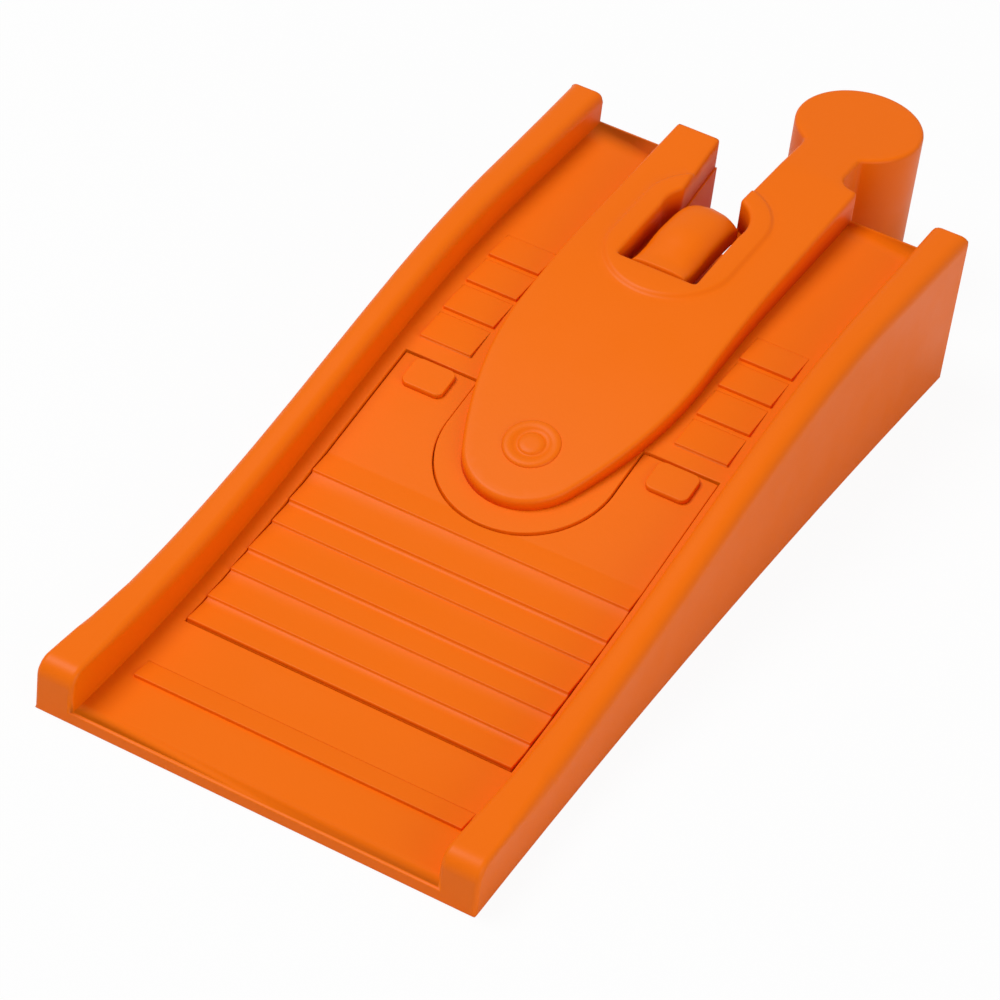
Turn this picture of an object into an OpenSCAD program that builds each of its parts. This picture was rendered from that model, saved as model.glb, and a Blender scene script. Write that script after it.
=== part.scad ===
// End ramp of a toy railway: two wheel channels between side curbs climb from a thin toe to
// a level plateau, a teardrop guide runs up the middle, and a coupling peg and a socket with
// a spring finger stand at the rear end. Z is up, the toe points to -Y, the peg to +Y.

/* [Overall] */
// Width over the two curbs, mm
ramp_width = 40; // [32:0.5:50]
// Length from the toe to the rear wall, mm
ramp_length = 84; // [70:0.5:105]
// Height of the wheel channels at the rear wall, mm
deck_height = 12.4; // [9:0.1:18]
// Thickness of the toe, mm
toe_thickness = 1.1; // [0.9:0.1:2]
// Rise of the nearly level plateau, mm
plateau_rise = 1.2; // [0:0.1:3]

/* [Curbs] */
// Width of each curb, mm
curb_width = 3.5; // [2.4:0.1:6]
// Curb height over the channel at the toe, mm
curb_front_height = 3.8; // [2:0.1:6]
// Curb height over the channel at the rear, mm
curb_rear_height = 3.1; // [2:0.1:6]
// Radius of the rounded curb nose, mm
nose_radius = 1.6; // [0.5:0.1:2.5]
// How far each side bows in at mid-length, mm
side_waist = 0.7; // [0.2:0.1:1]

/* [Walls] */
// Thickness of the deck, mm
deck_wall = 2.3; // [1.8:0.1:3.5]
// Thickness of the side and rear walls, mm
side_wall = 2.2; // [1.4:0.1:3]

/* [Tread plate] */
// Width of the inset plate, mm
plate_width = 30; // [24:0.5:36]
// Thickness of the inset plate, mm
plate_thickness = 0.9; // [0.6:0.1:1.2]
// How deep the rear field of the plate is sunk, mm
field_depth = 0.2; // [0.15:0.05:0.5]
// Height of each slat's front riser, mm
slat_height = 0.3; // [0.2:0.05:0.6]
// Length over which a slat fades into the plate, mm
slat_run = 2.2; // [1:0.1:2.4]
// Clearance round the plate, mm
plate_gap = 0.1; // [0.05:0.05:0.3]

/* [Sleepers] */
// Length of each sleeper across the channel, mm
sleeper_length = 5; // [3:0.1:6]
// Height of a sleeper's front edge, mm
sleeper_height = 0.3; // [0.2:0.05:0.6]
// Length over which a sleeper fades into the channel, mm
sleeper_run = 3.4; // [2:0.1:3.6]

/* [Guide] */
// Width of the guide on the plateau, mm
guide_width = 18; // [14:0.5:20]
// Height of the guide over the channels at its tip, mm
guide_front_height = 1; // [0.6:0.1:3]
// Height of the guide over the channels at the rear wall, mm
guide_rear_height = 3.1; // [2:0.1:4]
// Radius of the guide's round tip, mm
guide_tip_radius = 5.7; // [4:0.1:8]
// Distance from the rear wall to the centre of the tip, mm
guide_reach = 41.7; // [36:0.1:52]
// Angle at which the guide's sides leave its tip, degrees
side_lean = 26; // [18:1:32]
// Width of the strip left round the tip, mm
tip_strip = 2.3; // [1:0.1:4]

/* [Coupling] */
// Diameter of the coupling peg, mm
peg_diameter = 11.8; // [9:0.1:14]
// Distance of the peg centre behind the rear wall, mm
peg_reach = 10; // [8:0.1:13]
// Sideways offset of the peg from the centre line, mm
peg_offset = 4.4; // [2:0.1:7]
// Width of the peg's neck, mm
neck_width = 5.7; // [4:0.1:7]
// Radius of the fillet where the neck leaves the rear wall, mm
neck_fillet = 1.6; // [0.5:0.1:2]
// Radius of the round part of the socket, mm
socket_radius = 3.9; // [3.8:0.1:5]
// Distance of the socket centre in front of the rear wall, mm
socket_setback = 10.8; // [9:0.1:14]
// Height over the ground of the shelf under the finger, mm
socket_floor = 8; // [5:0.5:9]
// Length of the straight pocket in front of the socket centre, mm
pocket_length = 9; // [8:0.1:13]
// Sideways place of the socket, mm
socket_offset = -0.6; // [-2:0.1:2]
// Radius of the raised boss round the socket, mm
boss_radius = 5.9; // [5.4:0.1:6.5]
// Height of the boss over the guide, mm
boss_height = 0.3; // [0.2:0.05:0.6]

/* [Finger] */
// Width of the spring finger, mm
finger_width = 5.3; // [4:0.1:6]
// Length of the finger behind its root axis, mm
finger_length = 10.2; // [8:0.1:11]
// Thickness of the finger at its root, mm
finger_root = 2.4; // [1.6:0.1:3]
// Clearance between the finger's root and the pocket, mm
finger_gap = 0.15; // [0.1:0.05:0.3]

/* [Rivet] */
// Radius of the rivet's ring, mm
rivet_radius = 2.5; // [2:0.1:3.5]
// Radius of the rivet's shank and centre, mm
shank_radius = 1.15; // [0.8:0.05:1.6]

/* [Hidden] */
$fn = 96;
tiny = 0.01;
half_width = ramp_width / 2;
half_plate = plate_width / 2;
total_length = ramp_length + peg_reach + peg_diameter / 2;
toe_y = -total_length / 2;
top_height = deck_height + guide_rear_height;
slope_length = 0.81 * ramp_length;
main_rise = deck_height - toe_thickness - plateau_rise;
steps = 48;
tip_s = ramp_length - guide_reach;
strip_radius = guide_tip_radius + tip_strip;
plate_front = 0.33 * tip_s;
plate_rear = tip_s + 4.95;
field_front = 0.62 * tip_s;
front_slat = 0.151 * tip_s;
plate_slats = [for (k = [0.331, 0.4, 0.48, 0.541, 0.625, 0.686, 0.769]) k * tip_s];
sleepers = [for (k = [0, 1, 2, 3]) tip_s + 6.7 + k * 3.8];
cavity_front = 0.275 * ramp_length;
cavity_rear = ramp_length - side_wall;
socket_s = ramp_length - socket_setback;
pocket_s = socket_s - pocket_length;
pocket_half = 3.8;
shelf_rear = socket_s + socket_radius + 1;
boss_front = pocket_s + 2.8;
guide_span = guide_reach + guide_tip_radius;
root_radius = finger_root / 2;
root_s = pocket_s + finger_gap + root_radius;
root_z = guide_top(pocket_s) + boss_height - 1.35;
dome_rise = 2.45;

// Height of the wheel channel a distance s from the toe
function ramp_share(s) = pow(max(0, min(1, s / slope_length)), 1.12);
function deck(s) = toe_thickness + main_rise * (1 - cos(180 * ramp_share(s))) / 2
    + plateau_rise * pow(s / ramp_length, 2);
// Height of the curb's top at s
function curb(s) = deck(s) + curb_front_height
    + (curb_rear_height - curb_front_height) * s / ramp_length;
function guide_top(s) = deck(s) + guide_front_height
    + (guide_rear_height - guide_front_height) * max(0, (s - tip_s + guide_tip_radius)) / guide_span;
// Evenly spaced stations from a to b
function stations(a, b) = [for (k = [0:steps]) a + (b - a) * k / steps];
// Stations shared by every curved top, kept between a and b
function kept(a, b) = concat([a], [for (s = stations(0, ramp_length)) if (s > a + 0.05 && s < b - 0.05) s], [b]);
slope_angle = atan((guide_top(tip_s + 1) - guide_top(tip_s - 1)) / 2);

// Sweeps a side view (s, z) across the width from x0 to x1
module across(x0, x1) {
    translate([x0, toe_y, 0]) rotate([90, 0, 90]) linear_extrude(x1 - x0) children();
}

// Raises a plan view (x, s) from z0 to z1
module upright(z0, z1) {
    translate([0, toe_y, z0]) linear_extrude(z1 - z0) children();
}

// Side view of the space between two heights over the deck, from a to b
module deck_band(a, b, low, high) {
    line = kept(a, b);
    polygon(concat([for (s = line) [s, deck(s) + low]],
        [for (k = [len(line) - 1:-1:0]) [line[k], deck(line[k]) + high]]));
}

// Side view of the guide between the deck and its top raised by lift
module guide_band(a, b, lift) {
    line = kept(a, b);
    polygon(concat([for (s = line) [s, deck(s)]],
        [for (k = [len(line) - 1:-1:0]) [line[k], guide_top(line[k]) + lift]]));
}

// Side view of everything under the deck lowered by drop
module under_deck(a, b, drop) {
    polygon(concat([[b, -1], [a, -1]], [for (s = kept(a, b)) [s, deck(s) - drop]]));
}

// Side view of one curb, with its rounded nose
module curb_side() {
    nose = [for (k = [0:8]) let (t = 180 - k * 90 / 8)
        [nose_radius + nose_radius * cos(t), curb(nose_radius) - nose_radius + nose_radius * sin(t)]];
    polygon(concat([[ramp_length, 0], [0, 0]], nose,
        [for (s = kept(nose_radius + 0.2, ramp_length)) [s, curb(s)]]));
}

// Plan of the inset plate, grown by more
module plate_plan(more) {
    difference() {
        translate([-half_plate - more, plate_front - more])
            square([plate_width + 2 * more, plate_rear - plate_front + 2 * more]);
        translate([0, tip_s]) circle(strip_radius - more);
        translate([-strip_radius + more, tip_s])
            square([2 * strip_radius - 2 * more, guide_reach]);
    }
}

// Plan of the teardrop guide: a round tip and straight sides that reach full width
module guide_plan() {
    // each side leaves the tip at the lean angle and eases to full width along a parabola
    leave_x = guide_tip_radius * cos(side_lean);
    leave_s = tip_s - guide_tip_radius * sin(side_lean);
    rise = guide_width / 2 - leave_x;
    run = 2 * rise / tan(side_lean);
    side = [for (k = [0:12]) let (q = k / 12) [leave_x + rise * (2 * q - q * q), leave_s + run * q]];
    translate([0, tip_s]) circle(guide_tip_radius);
    polygon(concat([for (p = side) p], [[guide_width / 2, ramp_length], [-guide_width / 2, ramp_length]],
        [for (k = [12:-1:0]) [-side[k][0], side[k][1]]]));
}

// Plan of the socket: straight pocket, round hole and flared mouth
module socket_plan() {
    translate([socket_offset - pocket_half, pocket_s]) square([2 * pocket_half, socket_s - pocket_s]);
    translate([socket_offset, socket_s]) circle(socket_radius);
    polygon([[-3.7, socket_s + 1.5], [-4.7, ramp_length + 1], [1.4, ramp_length + 1], [1, socket_s + 1.5]]);
}

// Plan of the raised boss, long and round-ended
module boss_plan() {
    translate([socket_offset, boss_front]) circle(boss_radius);
    translate([socket_offset, socket_s]) circle(boss_radius);
    translate([socket_offset - boss_radius, boss_front]) square([2 * boss_radius, socket_s - boss_front]);
}

// Plan of the walls round the socket, under the deck
module socket_walls() {
    boss_plan();
    translate([socket_offset - boss_radius, socket_s])
        square([2 * boss_radius, ramp_length - socket_s]);
}

// Half the width at s: each side bows in by the waist at mid-length
function half_at(s) = half_width - side_waist * (1 - pow(2 * s / ramp_length - 1, 2));
// Plan of the whole ramp without the peg
module outline_plan() {
    line = [for (k = [0:14]) ramp_length * k / 14];
    polygon(concat([for (s = line) [half_at(s), s]],
        [for (k = [14:-1:0]) [-half_at(line[k]), line[k]]]));
}

// Places a child square to the guide's slope at the tip
module on_tip() {
    translate([0, toe_y + tip_s, guide_top(tip_s)]) rotate([slope_angle, 0, 0]) children();
}

// Low wedge across the travel: front riser of the given height that fades out behind
module wedge_side(s, height, run) {
    polygon([[s, deck(s) - 0.2], [s, deck(s) + height], [s + run, deck(s + run) + tiny],
        [s + run, deck(s + run) - 0.2]]);
}

module ramp_shell() {
    color([0.93, 0.42, 0.09]) difference() {
        union() {
            difference() {
                across(-half_width, half_width) polygon(concat([[ramp_length, 0], [0, 0]],
                    [for (s = kept(0, ramp_length)) [s, deck(s)]]));
                across(-half_width + side_wall, half_width - side_wall)
                    under_deck(cavity_front, cavity_rear, deck_wall);
            }
            intersection() {
                upright(socket_floor - 1.5, deck_height + 1) socket_walls();
                across(-half_width + 5, half_width - 5) polygon(concat([[ramp_length, 0], [pocket_s - 5, 0]],
                    [for (s = kept(pocket_s - 5, ramp_length)) [s, deck(s)]]));
            }
            across(-half_width, -half_width + curb_width) curb_side();
            across(half_width - curb_width, half_width) curb_side();
            across(-half_plate, half_plate) wedge_side(front_slat, slat_height, slat_run);
            for (s = sleepers) {
                across(-9.8 - sleeper_length, -9.8) wedge_side(s, sleeper_height, sleeper_run);
                across(9.8, 9.8 + sleeper_length) wedge_side(s, sleeper_height, sleeper_run);
            }
        }
        intersection() {
            upright(0, deck_height + 2) plate_plan(plate_gap);
            across(-half_width, half_width) deck_band(plate_front - 1, plate_rear + 1, -plate_thickness, 2);
        }
        upright(socket_floor, deck_height + 4) socket_plan();
        upright(-1, deck_height + 4) intersection() {
            socket_plan();
            translate([-half_width, shelf_rear]) square([ramp_width, ramp_length - shelf_rear + 1]);
        }
        on_tip() translate([0, 0, -deck_wall - 7]) cylinder(r = shank_radius, h = deck_wall + 7);
        difference() {
            across(-half_width - 1, half_width + 1) translate([-1, -1]) square([ramp_length + 2, top_height + 2]);
            upright(-2, top_height + 3) union() {
                outline_plan();
                translate([-half_width, -2]) square([ramp_width, 2]);
                translate([-half_width, ramp_length]) square([ramp_width, 2]);
            }
        }
    }
}

module tread_plate() {
    slat_top = [for (s = plate_slats) let (sink = s < field_front - 0.05 ? 0 : field_depth)
        each [[s - 0.02, deck(s) - sink], [s, deck(s) + slat_height - sink],
              [min(s + slat_run, plate_rear), deck(s + slat_run) - sink]]];
    field = kept(plate_slats[6] + slat_run + 0.3, plate_rear);
    color([0.95, 0.44, 0.1]) intersection() {
        upright(0, deck_height + 2) plate_plan(0);
        across(-half_plate, half_plate) polygon(concat(
            [for (s = kept(plate_front, plate_rear)) [s, deck(s) - plate_thickness]],
            [for (k = [len(field) - 1:-1:0]) [field[k], deck(field[k]) - field_depth]],
            [for (k = [len(slat_top) - 1:-1:0]) slat_top[k]],
            [[plate_front, deck(plate_front)]]));
    }
}

module clip_lugs() {
    lug_front = tip_s + 1.6;
    lug_rear = tip_s + 4.6;
    color([0.95, 0.44, 0.1]) for (side = [-1, 1]) intersection() {
        upright(0, deck_height + 3) union() {
            translate([side * 11.7 - 2, lug_front + 0.7]) square([4, lug_rear - lug_front - 1.4]);
            translate([side * 11.7 - 1.3, lug_front]) square([2.6, lug_rear - lug_front]);
            for (dx = [-1.3, 1.3]) for (s = [lug_front + 0.7, lug_rear - 0.7])
                translate([side * 11.7 + dx, s]) circle(0.7);
        }
        across(-half_width, half_width) deck_band(lug_front - 1, lug_rear + 1, -field_depth, 0.25);
    }
}

module centre_guide() {
    neck_left = peg_offset - neck_width / 2 - 0.15;
    color([0.93, 0.42, 0.09]) difference() {
        union() {
            intersection() {
                upright(0, top_height + 1) guide_plan();
                across(-half_width, half_width) guide_band(tip_s - guide_tip_radius - 0.2, ramp_length, 0);
            }
            intersection() {
                upright(0, top_height + 1) boss_plan();
                across(-half_width, half_width) guide_band(pocket_s - 5, ramp_length, boss_height);
            }
            upright(0, top_height) translate([neck_left, ramp_length]) square([neck_width, peg_reach]);
            upright(0, top_height) difference() {
                translate([neck_left + neck_width, ramp_length]) square([neck_fillet, neck_fillet]);
                translate([neck_left + neck_width + neck_fillet, ramp_length + neck_fillet]) circle(neck_fillet);
            }
            translate([peg_offset, toe_y + ramp_length + peg_reach, 0])
                cylinder(d = peg_diameter, h = top_height);
        }
        upright(-1, top_height + 2) socket_plan();
        on_tip() translate([0, 0, -0.7]) cylinder(r = rivet_radius, h = 3);
        on_tip() translate([0, 0, -5]) cylinder(r = shank_radius, h = 6);
    }
}

module latch_tongue() {
    end_s = root_s + finger_length;
    color([0.93, 0.42, 0.09]) intersection() {
        across(socket_offset - finger_width / 2, socket_offset + finger_width / 2) union() {
            translate([root_s, root_z]) circle(root_radius);
            polygon([[root_s, root_z - root_radius], [end_s - 0.8, root_z - root_radius],
                [end_s, root_z - root_radius + 0.8], [end_s, root_z + 0.3], [end_s - 0.35, root_z + 1.2],
                [end_s - 1.1, root_z + 1.85], [end_s - 2.2, root_z + 2.25], [end_s - 3.6, root_z + dome_rise],
                [root_s + 4.2, root_z + dome_rise], [root_s + 3.4, root_z + dome_rise - 0.15],
                [root_s + 0.6, root_z + root_radius], [root_s, root_z + root_radius]]);
        }
        translate([socket_offset, toe_y + ramp_length, root_z + dome_rise - 3.4]) rotate([90, 0, 0])
            cylinder(r = 3.4, h = ramp_length - pocket_s + 2);
    }
}

module guide_rivet() {
    color([0.95, 0.44, 0.1]) on_tip() difference() {
        union() {
            translate([0, 0, -0.7]) cylinder(r = rivet_radius, h = 1);
            translate([0, 0, -deck_wall - 1]) cylinder(r = shank_radius, h = deck_wall + 1);
        }
        difference() {
            translate([0, 0, -0.1]) cylinder(r = rivet_radius - 0.9, h = 1);
            translate([0, 0, -0.2]) cylinder(r = shank_radius, h = 1.2);
        }
    }
}

ramp_shell();
tread_plate();
clip_lugs();
centre_guide();
latch_tongue();
guide_rivet();
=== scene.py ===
import math
import bmesh
import bpy
import numpy as np
from mathutils import Matrix, Vector
from mathutils.geometry import delaunay_2d_cdt


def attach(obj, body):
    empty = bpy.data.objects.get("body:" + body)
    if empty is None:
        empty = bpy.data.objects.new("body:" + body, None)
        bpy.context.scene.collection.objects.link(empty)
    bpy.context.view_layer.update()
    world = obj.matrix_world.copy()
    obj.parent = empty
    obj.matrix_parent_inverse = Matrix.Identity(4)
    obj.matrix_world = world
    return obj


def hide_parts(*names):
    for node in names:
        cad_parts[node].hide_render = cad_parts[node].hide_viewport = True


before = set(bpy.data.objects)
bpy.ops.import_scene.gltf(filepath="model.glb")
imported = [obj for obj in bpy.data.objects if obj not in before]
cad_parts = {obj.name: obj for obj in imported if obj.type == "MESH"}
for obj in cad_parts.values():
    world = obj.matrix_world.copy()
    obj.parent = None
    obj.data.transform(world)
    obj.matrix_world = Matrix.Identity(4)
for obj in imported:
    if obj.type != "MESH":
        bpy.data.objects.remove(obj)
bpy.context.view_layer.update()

# The camera looks down on the toe from its right front corner, with a long lens and a slight
# roll, so the ramp climbs away from it to the upper right.
camera_data = bpy.data.cameras.new("ramp_camera")
camera = bpy.data.objects.new("ramp_camera", camera_data)
bpy.context.scene.collection.objects.link(camera)
bpy.context.scene.camera = camera
camera_data.sensor_width = 36.0
camera_data.lens = 143.1
camera_data.clip_start = 0.01
turn, tilt, roll = math.radians(25.06), math.radians(38.47), math.radians(7.45)
backward = Vector((math.sin(turn) * math.cos(tilt), -math.cos(turn) * math.cos(tilt), math.sin(tilt)))
level = Vector((math.cos(turn), math.sin(turn), 0.0))
upward = backward.cross(level)
across_view = math.cos(roll) * level + math.sin(roll) * upward
up_view = -math.sin(roll) * level + math.cos(roll) * upward
aim = Vector((0.0, -0.00495, 0.0))
spot = aim - 0.00302 * across_view + 0.00107 * up_view + 0.336 * backward
camera.matrix_world = Matrix((
    (across_view.x, up_view.x, backward.x, spot.x),
    (across_view.y, up_view.y, backward.y, spot.y),
    (across_view.z, up_view.z, backward.z, spot.z),
    (0.0, 0.0, 0.0, 1.0)))

# Ramp shell: the hollow body with its deck, two curbs, first slat and the sleepers across the
# wheel channels. It is one injection moulding in orange plastic, coloured through, with a
# satin tool finish and every outer edge rounded off, the curbs most of all.
RAMP_LENGTH = 0.084
TOE_Y = -0.04995
DECK_REAR = 0.0124
TOE_THICKNESS = 0.0011
PLATEAU_RISE = 0.0012
CURB_ZONE = 0.0162
CURB_MIDDLE = 0.0182
ORANGE = (0.90, 0.160, 0.001)


def deck_height(y):
    """Height of the wheel channel at y: the toe's thickness, plus a half cosine wave over the
    first 81 per cent of the length, plus a slow square-law rise to the rear wall."""
    s = np.clip(y - TOE_Y, 0.0, RAMP_LENGTH)
    share = np.clip(s / (0.81 * RAMP_LENGTH), 0.0, 1.0) ** 1.12
    rise = DECK_REAR - TOE_THICKNESS - PLATEAU_RISE
    return TOE_THICKNESS + rise * (1 - np.cos(np.pi * share)) / 2 + PLATEAU_RISE * (s / RAMP_LENGTH) ** 2


def curb_top(y):
    """Height of a curb's top at y: the channel's height plus a wall that falls evenly from
    3.8 mm at the toe to 3.1 mm at the rear wall."""
    return deck_height(y) + 0.0038 - 0.0007 * (y - TOE_Y) / RAMP_LENGTH


def rounded_moulding(node, name, radius_of, widest, segments=4):
    """Copy of a CAD node with its loose triangles welded and flat areas joined, whose convex
    edges carry the rounding radius that radius_of(middle, along) gives in metres."""
    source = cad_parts[node]
    work = bmesh.new()
    work.from_mesh(source.data)
    bmesh.ops.remove_doubles(work, verts=work.verts, dist=2e-6)
    bmesh.ops.dissolve_limit(work, angle_limit=math.radians(0.05), verts=work.verts, edges=work.edges)
    bmesh.ops.recalc_face_normals(work, faces=work.faces)
    work.edges.ensure_lookup_table()
    ends = np.array([[*e.verts[0].co, *e.verts[1].co] for e in work.edges])
    bend = np.array([e.calc_face_angle_signed(0.0) for e in work.edges])
    middle = (ends[:, :3] + ends[:, 3:]) / 2
    along = np.abs(ends[:, 3:] - ends[:, :3])
    along /= np.maximum(along.max(axis=1, keepdims=True), 1e-9)
    radius = radius_of(middle, along) * (bend > math.radians(28))
    weights = work.edges.layers.float.new("bevel_weight_edge")
    for edge, r, turn_here in zip(work.edges, radius, bend):
        edge[weights] = float(r / widest)
        edge.smooth = bool(r > 0 or abs(turn_here) < math.radians(28))
    mesh = bpy.data.meshes.new(name)
    work.to_mesh(mesh)
    work.free()
    mesh.shade_smooth()
    piece = bpy.data.objects.new(name, mesh)
    bpy.context.scene.collection.objects.link(piece)
    rounding = piece.modifiers.new("rounding", "BEVEL")
    rounding.limit_method = "WEIGHT"
    rounding.width = widest
    rounding.segments = segments
    rounding.use_clamp_overlap = False
    rounding.miter_outer = "MITER_SHARP"
    even = piece.modifiers.new("even_shading", "WEIGHTED_NORMAL")
    even.keep_sharp = True
    even.weight = 60
    return piece


def tool_finish_group():
    """Node group: slow mottling of the colour, small changes of gloss and a fine
    eroded tool texture, all from layered noise in object space."""
    group = bpy.data.node_groups.new("tool_finish", "ShaderNodeTree")
    face = group.interface
    face.new_socket("Color", in_out="INPUT", socket_type="NodeSocketColor")
    face.new_socket("Mottle", in_out="INPUT", socket_type="NodeSocketFloat")
    face.new_socket("Gloss", in_out="INPUT", socket_type="NodeSocketFloat")
    face.new_socket("Grain", in_out="INPUT", socket_type="NodeSocketFloat")
    face.new_socket("Color", in_out="OUTPUT", socket_type="NodeSocketColor")
    face.new_socket("Roughness", in_out="OUTPUT", socket_type="NodeSocketFloat")
    face.new_socket("Height", in_out="OUTPUT", socket_type="NodeSocketFloat")
    nodes, links = group.nodes, group.links
    start, end = nodes.new("NodeGroupInput"), nodes.new("NodeGroupOutput")
    place = nodes.new("ShaderNodeTexCoord")

    def noise(scale, detail):
        made = nodes.new("ShaderNodeTexNoise")
        made.inputs["Scale"].default_value = scale
        made.inputs["Detail"].default_value = detail
        links.new(place.outputs["Object"], made.inputs["Vector"])
        return made.outputs["Fac"]

    def sum_of(operation, a, b):
        made = nodes.new("ShaderNodeMath")
        made.operation = operation
        for socket, value in zip(made.inputs, (a, b)):
            if isinstance(value, (int, float)):
                socket.default_value = value
            else:
                links.new(value, socket)
        return made.outputs[0]

    slow, fine = noise(60.0, 3.0), noise(2600.0, 2.0)
    swing = sum_of("MULTIPLY", sum_of("SUBTRACT", slow, 0.5), start.outputs["Mottle"])
    tint = nodes.new("ShaderNodeHueSaturation")
    links.new(start.outputs["Color"], tint.inputs["Color"])
    links.new(sum_of("ADD", swing, 1.0), tint.inputs["Value"])
    links.new(tint.outputs["Color"], end.inputs["Color"])
    patchy = sum_of("MULTIPLY", sum_of("SUBTRACT", noise(220.0, 4.0), 0.5), 0.22)
    links.new(sum_of("ADD", start.outputs["Gloss"], patchy), end.inputs["Roughness"])
    links.new(sum_of("MULTIPLY", fine, start.outputs["Grain"]), end.inputs["Height"])
    return group


def orange_plastic(name, color, gloss):
    """Satin plastic: the tool finish drives colour, roughness and a shallow bump."""
    made = bpy.data.materials.new(name)
    made.use_nodes = True
    nodes, links = made.node_tree.nodes, made.node_tree.links
    shader = nodes["Principled BSDF"]
    finish = nodes.new("ShaderNodeGroup")
    finish.node_tree = bpy.data.node_groups.get("tool_finish") or tool_finish_group()
    finish.inputs["Color"].default_value = (*color, 1.0)
    finish.inputs["Mottle"].default_value = 0.05
    finish.inputs["Gloss"].default_value = gloss
    finish.inputs["Grain"].default_value = 1.0
    bump = nodes.new("ShaderNodeBump")
    bump.inputs["Strength"].default_value = 0.06
    bump.inputs["Distance"].default_value = 0.0001
    links.new(finish.outputs["Color"], shader.inputs["Base Color"])
    links.new(finish.outputs["Roughness"], shader.inputs["Roughness"])
    links.new(finish.outputs["Height"], bump.inputs["Height"])
    links.new(bump.outputs["Normal"], shader.inputs["Normal"])
    shader.inputs["IOR"].default_value = 1.45
    shader.inputs["Specular IOR Level"].default_value = 0.17
    return made


def shell_radius(middle, along):
    """1.2 mm on the curbs' outer top edges and 1 mm on their inner ones, easing to two
    fifths at the noses, 0.44 mm up the noses, 0.6 mm round the rear, 0.12 mm on the toe and
    0.08 mm elsewhere. The curbs' zone starts 0.3 mm inside their inner faces."""
    x, y, z = np.abs(middle[:, 0]), middle[:, 1], middle[:, 2]
    s = y - TOE_Y
    size = np.full(len(x), 0.00008)
    above_channel = (z > curb_top(y) - 0.0017) & (z > deck_height(y) + 0.0015)
    top = (x > CURB_ZONE) & above_channel & (along[:, 0] < 0.5)
    outer, inner = top & (x > CURB_MIDDLE), top & (x < CURB_MIDDLE)
    ease = np.clip(s / 0.012, 0.4, 1.0)
    size[outer] = 0.0012 * ease[outer]
    size[inner] = 0.0010 * ease[inner]
    on_curb = x > CURB_ZONE + 0.0001
    rear = s > RAMP_LENGTH - 0.0003
    size[rear & on_curb & (z > deck_height(y) - 0.001)] = 0.0006
    toe = (s < 0.0003) & (z > 0.0005)
    size[toe & on_curb & (along[:, 2] > 0.9)] = 0.00044
    size[toe & (x < CURB_ZONE + 0.0001) & (along[:, 0] > 0.9)] = 0.00012
    return size


plastic = orange_plastic("orange_moulding", ORANGE, 0.40)
shell = rounded_moulding("ramp_shell", "rounded_shell", shell_radius, 0.0012)
shell.data.materials.append(plastic)
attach(shell, "ramp")
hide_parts("ramp_shell")

# Tread plate: the thin slatted plate let into the lower slope, cut round the guide's tip. It
# is moulded in the same plastic, with low saw-tooth slats that fade into its face.


def small_radius(middle, along):
    """The same small break of 0.1 mm on every convex edge."""
    return np.full(len(middle), 0.0001)


plate = rounded_moulding("tread_plate", "slatted_plate", small_radius, 0.0001, 2)
plate.data.materials.append(plastic)
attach(plate, "ramp")
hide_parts("tread_plate")

# Clip lugs: two low pads with round corners that stand in the upper corners of the plate. They
# are moulded in the same plastic, with their edges just broken.


def lug_radius(middle, along):
    """0.12 mm on every convex edge of the pads."""
    return np.full(len(middle), 0.00012)


lugs = rounded_moulding("clip_lugs", "plate_lugs", lug_radius, 0.00012, 3)
lugs.data.materials.append(plastic)
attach(lugs, "ramp")
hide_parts("clip_lugs")

# Centre guide: the teardrop that keeps wheels in their channels, with the raised boss round
# the socket, the coupling neck and the round peg. One solid moulding whose top edges are
# rounded to 0.4 mm, standing 1 mm over the channels at its tip and 3.1 mm at the rear.
TIP_S = 0.0423
TIP_RADIUS = 0.0057
HALF_GUIDE = 0.009
SOCKET = np.array([-0.0006, 0.0732])
SOCKET_RADIUS = 0.0039
POCKET_LEFT = -0.0044
POCKET_RIGHT = 0.0032
POCKET_FRONT = 0.0642
POCKET_REAR = 0.0723
BOSS_FRONT = 0.0670
BOSS_RADIUS = 0.00585
PEG = np.array([0.0044, 0.0940])
PEG_RADIUS = 0.0059


def guide_top(s):
    """Height of the guide's top at s from the toe: the channel's height plus 1 mm at the tip,
    growing evenly to 3.1 mm at the rear wall, and level from there to the peg."""
    reach = np.clip((s - TIP_S + TIP_RADIUS) / (RAMP_LENGTH - TIP_S + TIP_RADIUS), 0.0, 1.0)
    return deck_height(s + TOE_Y) + 0.001 + 0.0021 * reach


def boss_lift(x, s):
    """0.3 mm inside the boss and nothing outside it: a smooth step 0.5 mm wide, on the
    distance from the line between the boss's two end centres."""
    away = np.hypot(x - SOCKET[0], s - np.clip(s, BOSS_FRONT, SOCKET[1]))
    step = np.clip((0.0061 - away) / 0.0005, 0.0, 1.0)
    return 0.0003 * step * step * (3 - 2 * step)


def arc(centre, radius, start, stop, count):
    """Points on a circle round centre, from angle start to stop in degrees."""
    angle = np.radians(np.linspace(start, stop, count))
    return np.stack([centre[0] + radius * np.cos(angle), centre[1] + radius * np.sin(angle)], axis=1)


def evened(corners, spacing, softness):
    """Closed outline through the corners, resampled at even spacing along its length, then
    smoothed round the loop with a bell curve of width softness, which rounds its corners."""
    loop = np.vstack([corners, corners[:1]])
    run = np.concatenate([[0.0], np.cumsum(np.hypot(*np.diff(loop, axis=0).T))])
    count = int(run[-1] / spacing)
    at = np.linspace(0.0, run[-1], count, endpoint=False)
    even = np.stack([np.interp(at, run, loop[:, 0]), np.interp(at, run, loop[:, 1])], axis=1)
    offset = np.minimum(np.arange(count), count - np.arange(count)) * spacing
    bell = np.exp(-0.5 * (offset / softness) ** 2)
    spectrum = np.fft.fft(bell / bell.sum())[:, None]
    return np.real(np.fft.ifft(np.fft.fft(even, axis=0) * spectrum, axis=0))


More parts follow.
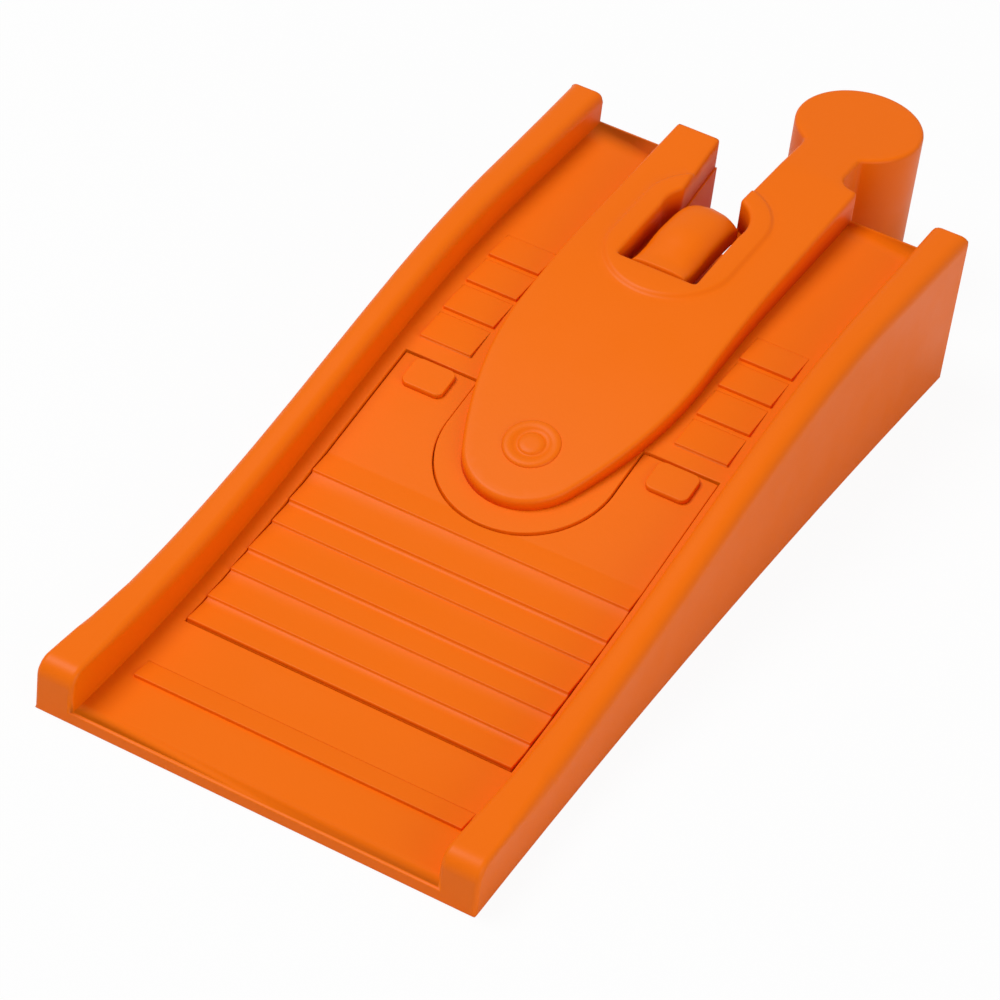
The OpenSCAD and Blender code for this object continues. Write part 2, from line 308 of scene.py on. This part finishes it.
def inside(points, outline):
    """True for each point within the closed outline, by counting crossings of a ray to +X."""
    a, b = outline[None], np.roll(outline, -1, axis=0)[None]
    x, y = points[:, :1], points[:, 1:]
    spans = (a[..., 1] > y) != (b[..., 1] > y)
    rise = np.where(spans, b[..., 1] - a[..., 1], 1.0)
    cut = a[..., 0] + (y - a[..., 1]) * (b[..., 0] - a[..., 0]) / rise
    return (np.sum(spans & (x < cut), axis=1) % 2) == 1


def distances(these, those):
    """Table of plan distances from each of these points to each of those."""
    return np.hypot(these[:, None, 0] - those[None, :, 0], these[:, None, 1] - those[None, :, 1])


def solid_from_outline(name, outline, rounding, top_of, bottom_of, extra, steps=5):
    """Body over a plan outline. Its wall rises from bottom_of to the top less the
    rounding, then follows a quarter circle of that radius inwards, ring by ring, and a
    triangulated cap with the extra inner points carries top_of(x, s)."""
    ahead, behind = np.roll(outline, -1, axis=0), np.roll(outline, 1, axis=0)
    along = ahead - behind
    along /= np.hypot(along[:, 0], along[:, 1])[:, None]
    inward = np.stack([-along[:, 1], along[:, 0]], axis=1)
    quarter = np.radians(np.linspace(0.0, 90.0, steps + 1))
    rings = [np.column_stack([outline, bottom_of(*outline.T)])]
    for angle in quarter:
        ring = outline + inward * rounding * (1 - np.cos(angle))
        rings.append(np.column_stack([ring, top_of(*ring.T) - rounding * (1 - np.sin(angle))]))
    count = len(outline)
    rim = rings[-1][:, :2]
    near = np.min(distances(extra, rim), axis=1)
    inner = extra[inside(extra, rim) & (near > 0.00022)]
    flat = np.vstack([rim, inner]) * 1000.0
    loop = [(i, (i + 1) % count) for i in range(count)]
    found = delaunay_2d_cdt([Vector(p) for p in flat.tolist()], loop, [], 1, 1e-6)
    placed = np.array([[p.x, p.y] for p in found[0]])
    origin = np.argmin(distances(placed, flat), axis=1)
    cap = origin[np.array(found[2], dtype=int)]
    cap = cap[(cap[:, 0] != cap[:, 1]) & (cap[:, 1] != cap[:, 2]) & (cap[:, 0] != cap[:, 2])]
    levels = len(rings)
    top_start = (levels - 1) * count
    inner_top = np.column_stack([inner, top_of(*inner.T)])
    inner_bottom = np.column_stack([inner, bottom_of(*inner.T)])
    vertices = np.vstack([*rings, inner_top, inner_bottom])
    vertices[:, 1] += TOE_Y
    ring_index = np.arange(count)
    next_index = (ring_index + 1) % count
    walls = np.vstack([np.stack([k * count + ring_index, k * count + next_index,
        (k + 1) * count + next_index, (k + 1) * count + ring_index], axis=1) for k in range(levels - 1)])
    upper = np.where(cap < count, cap + top_start, cap - count + levels * count)
    lower = np.where(cap < count, cap, cap - count + levels * count + len(inner))[:, ::-1]
    mesh = bpy.data.meshes.new(name)
    mesh.from_pydata(vertices.tolist(), [], walls.tolist() + upper.tolist() + lower.tolist())
    mesh.shade_smooth()
    piece = bpy.data.objects.new(name, mesh)
    bpy.context.scene.collection.objects.link(piece)
    return piece


lean = math.radians(26.0)
leave = np.array([TIP_RADIUS * math.cos(lean), TIP_S - TIP_RADIUS * math.sin(lean)])
share_along = np.linspace(0.0, 1.0, 30)
side_x = leave[0] + (HALF_GUIDE - leave[0]) * (2 * share_along - share_along ** 2)
side_s = leave[1] + 2 * (HALF_GUIDE - leave[0]) / math.tan(lean) * share_along
turn_in = math.degrees(math.acos(3.8 / 3.9))
neck_right = math.degrees(math.atan2(-5.3, 2.6))
neck_left = 180 + math.degrees(math.atan2(5.0, 3.1))
mouth_right = math.degrees(math.atan2(3.54, 1.63))
mouth_left = 180 - math.degrees(math.atan2(2.19, 3.23))
guide_outline = evened(np.vstack([
    arc((0.0, TIP_S), TIP_RADIUS, 207, 333, 44),
    np.column_stack([side_x, side_s]),
    [(HALF_GUIDE, RAMP_LENGTH), (0.0086, 0.0841)],
    arc((0.0086, 0.0857), 0.0016, 270, 180, 9),
    [(0.0070, 0.0885)],
    arc(PEG, PEG_RADIUS, neck_right, neck_left, 90),
    [(0.00138, 0.0880), (0.0013, RAMP_LENGTH), (0.00105, 0.0770)],
    arc(SOCKET, SOCKET_RADIUS, mouth_right, -turn_in, 24),
    [(POCKET_RIGHT, POCKET_REAR), (POCKET_RIGHT, POCKET_FRONT)],
    [(POCKET_LEFT, POCKET_FRONT), (POCKET_LEFT, POCKET_REAR)],
    arc(SOCKET, SOCKET_RADIUS, 180 + turn_in, mouth_left, 24),
    [(-0.0039, 0.0757), (-0.0047, RAMP_LENGTH), (-HALF_GUIDE, RAMP_LENGTH)],
    np.column_stack([-side_x, side_s])[::-1],
]), 0.0002, 0.00022)


def guide_bottom(x, s):
    """Just under the channel's surface as far as the rear wall, and the ground behind it."""
    return np.where(s > RAMP_LENGTH + 0.00002, 0.0, deck_height(s + TOE_Y) - 0.0001)


def guide_cap(x, s):
    """The guide's top with the boss's lift added."""
    return guide_top(s) + boss_lift(x, s)


grid_x, grid_s = np.meshgrid(np.arange(-0.0095, 0.0105, 0.0008), np.arange(0.036, 0.1, 0.0008))
grid = np.column_stack([grid_x.ravel(), grid_s.ravel()])
ledge = []
for reach in (0.00555, 0.0057, 0.00585, 0.0060, 0.00615):
    ledge += [arc((SOCKET[0], BOSS_FRONT), reach, 180, 360, 80), arc(SOCKET, reach, 0, 180, 80)]
    rows = np.linspace(BOSS_FRONT, SOCKET[1], 30)[1:-1]
    ledge += [np.column_stack([np.full(28, SOCKET[0] + side * reach), rows]) for side in (-1, 1)]
ledge = np.vstack(ledge)
from_boss = np.hypot(grid[:, 0] - SOCKET[0], grid[:, 1] - np.clip(grid[:, 1], BOSS_FRONT, SOCKET[1]))
off_ledge = np.abs(from_boss - BOSS_RADIUS) > 0.0005
cap_points = np.vstack([grid[off_ledge], ledge])
guide = solid_from_outline("teardrop_guide", guide_outline, 0.0004, guide_cap, guide_bottom, cap_points)
guide.data.materials.append(plastic)
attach(guide, "ramp")
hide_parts("centre_guide")

# Latch tongue: the spring finger in the socket. It is moulded with the guide, rises from its
# root to a long dome and bends down at the root when a peg is pushed past it.


def finger_mesh(name):
    """Grid of cross-sections from root to tip. Each is a rounded box (a superellipse of power
    5) whose top is bent to a cylinder of 3.4 mm radius, and the sections flatten to a line at
    both ends along quarter circles."""
    root, length, half = 0.0644, 0.01135, 0.00265
    long, around = 70, 48
    s = root + length * (1 - np.cos(np.linspace(0, np.pi, long))) / 2
    base = 0.01298 - 0.0012
    top = np.interp(s - root, np.array([0, 0.4, 1.4, 3.9, 4.8, 5.8, 8.0, 9.3, 10.2, 10.9, 11.35]) / 1000,
        base + np.array([2.5, 2.52, 2.6, 3.4, 3.6, 3.65, 3.62, 3.42, 3.0, 2.35, 1.5]) / 1000)
    kernel = np.hanning(9) / np.hanning(9).sum()
    top = np.convolve(np.pad(top, 4, mode="edge"), kernel, mode="valid")
    front = np.clip((s - root) / 0.0002, 0, 1)
    back = np.clip((root + length - s) / 0.0010, 0, 1)
    close = np.sqrt(np.maximum(1 - (1 - front) ** 2, 0)) * np.sqrt(np.maximum(1 - (1 - back) ** 2, 0))
    angle = np.linspace(0, 2 * np.pi, around, endpoint=False)
    u = np.sign(np.cos(angle)) * np.abs(np.cos(angle)) ** 0.4
    v = np.sign(np.sin(angle)) * np.abs(np.sin(angle)) ** 0.4
    middle, tall = (top + base) / 2, (top - base) / 2
    x = half * u[None] * (0.35 + 0.65 * close[:, None])
    swell = close * np.clip((s - root) / 0.003, 0, 1)
    crown = (0.0034 - np.sqrt(0.0034 ** 2 - (half * u[None]) ** 2)) * swell[:, None]
    z = middle[:, None] + tall[:, None] * v[None] * close[:, None] - crown * np.clip(v[None], 0, 1) * 0.85
    y = np.repeat((s + TOE_Y)[:, None], around, axis=1)
    vertices = np.stack([SOCKET[0] + x, y, z], axis=-1).reshape(-1, 3)
    rows, columns = np.meshgrid(np.arange(long - 1), np.arange(around), indexing="ij")
    after = (columns + 1) % around
    sides = np.stack([rows * around + columns, rows * around + after,
        (rows + 1) * around + after, (rows + 1) * around + columns], axis=-1)
    ends = [list(range(around)), list(range((long - 1) * around, long * around))[::-1]]
    faces = sides.reshape(-1, 4)[:, ::-1].tolist() + ends
    mesh = bpy.data.meshes.new(name)
    mesh.from_pydata(vertices.tolist(), [], faces)
    mesh.shade_smooth()
    piece = bpy.data.objects.new(name, mesh)
    bpy.context.scene.collection.objects.link(piece)
    return piece


tongue = finger_mesh("spring_finger")
tongue.data.materials.append(plastic)
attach(tongue, "tongue")
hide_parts("latch_tongue")

# Guide rivet: the round fastener at the tip, a soft ring round a centre post, set square to
# the guide's slope. It is turned from the same plastic.


def turned_rivet(name):
    """Surface of revolution: a profile of radius and height carried round the axis, tipped by
    the guide's slope at its tip."""
    radius = np.array([0, 0.55, 0.95, 1.1, 1.15, 1.25, 1.45, 1.6,
        1.75, 2.1, 2.35, 2.46, 2.5, 2.5, 0]) / 1000
    height = np.array([0.2, 0.2, 0.18, 0.1, 0.03, 0.02, 0.03, 0.12,
        0.2, 0.22, 0.18, 0.08, 0.0, -0.5, -0.5]) / 1000
    around = 96
    angle = np.linspace(0, 2 * np.pi, around, endpoint=False)
    x = radius[:, None] * np.cos(angle)[None]
    y = radius[:, None] * np.sin(angle)[None]
    z = np.repeat(height[:, None], around, axis=1)
    slope = np.arctan((guide_top(TIP_S + 0.001) - guide_top(TIP_S - 0.001)) / 0.002)
    vertices = np.stack([x, TOE_Y + TIP_S + y * np.cos(slope) - z * np.sin(slope),
        guide_top(TIP_S) + y * np.sin(slope) + z * np.cos(slope)], axis=-1).reshape(-1, 3)
    rows, columns = np.meshgrid(np.arange(len(radius) - 1), np.arange(around), indexing="ij")
    after = (columns + 1) % around
    faces = np.stack([rows * around + columns, (rows + 1) * around + columns,
        (rows + 1) * around + after, rows * around + after], axis=-1)
    work = bmesh.new()
    mesh = bpy.data.meshes.new(name)
    mesh.from_pydata(vertices.tolist(), [], faces.reshape(-1, 4).tolist())
    work.from_mesh(mesh)
    bmesh.ops.remove_doubles(work, verts=work.verts, dist=1e-7)
    bmesh.ops.recalc_face_normals(work, faces=work.faces)
    work.to_mesh(mesh)
    work.free()
    mesh.shade_smooth()
    piece = bpy.data.objects.new(name, mesh)
    bpy.context.scene.collection.objects.link(piece)
    return piece


rivet = turned_rivet("tip_rivet")
rivet.data.materials.append(plastic)
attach(rivet, "ramp")
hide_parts("guide_rivet")

# Studio: a white floor that keeps a faint contact shadow, a white room and two soft lamps, the
# larger one above and to the left of the ramp.
floor_mesh = bpy.data.meshes.new("studio_floor")
floor_mesh.from_pydata([(-3, -3, 0), (3, -3, 0), (3, 3, 0), (-3, 3, 0)], [], [(0, 1, 2, 3)])
floor = bpy.data.objects.new("studio_floor", floor_mesh)
bpy.context.scene.collection.objects.link(floor)
floor.location.z = -0.00002
paper = bpy.data.materials.new("white_paper")
paper.use_nodes = True
nodes, links = paper.node_tree.nodes, paper.node_tree.links
matt = nodes["Principled BSDF"]
matt.inputs["Base Color"].default_value = (0.8, 0.8, 0.8, 1.0)
matt.inputs["Roughness"].default_value = 0.9
glow = nodes.new("ShaderNodeEmission")
glow.inputs["Strength"].default_value = 1.0
seen = nodes.new("ShaderNodeLightPath")
share = nodes.new("ShaderNodeMath")
share.operation = "MULTIPLY"
share.inputs[1].default_value = 0.94
links.new(seen.outputs["Is Camera Ray"], share.inputs[0])
mix = nodes.new("ShaderNodeMixShader")
links.new(share.outputs[0], mix.inputs[0])
links.new(matt.outputs[0], mix.inputs[1])
links.new(glow.outputs[0], mix.inputs[2])
links.new(mix.outputs[0], nodes["Material Output"].inputs["Surface"])
floor_mesh.materials.append(paper)

room = bpy.data.worlds.new("white_room")
bpy.context.scene.world = room
room.use_nodes = True
nodes, links = room.node_tree.nodes, room.node_tree.links
around = nodes["Background"]
around.inputs["Color"].default_value = (1.0, 1.0, 1.0, 1.0)
path = nodes.new("ShaderNodeLightPath")
strength = nodes.new("ShaderNodeMapRange")
strength.inputs["To Min"].default_value = 0.35
strength.inputs["To Max"].default_value = 1.0
links.new(path.outputs["Is Camera Ray"], strength.inputs["Value"])
links.new(strength.outputs[0], around.inputs["Strength"])


def soft_lamp(name, place, size, power):
    """Square area lamp at place, turned to face the ramp."""
    data = bpy.data.lights.new(name, "AREA")
    data.size, data.energy = size, power
    lamp = bpy.data.objects.new(name, data)
    bpy.context.scene.collection.objects.link(lamp)
    lamp.location = place
    lamp.rotation_euler = (aim - Vector(place)).to_track_quat("-Z", "Y").to_euler()


soft_lamp("key_above_left", (-0.28, -0.10, 0.60), 0.35, 2.85)
soft_lamp("fill_right", (0.60, -0.25, 0.22), 0.5, 1.6)
bpy.context.scene.view_settings.view_transform = "Standard"
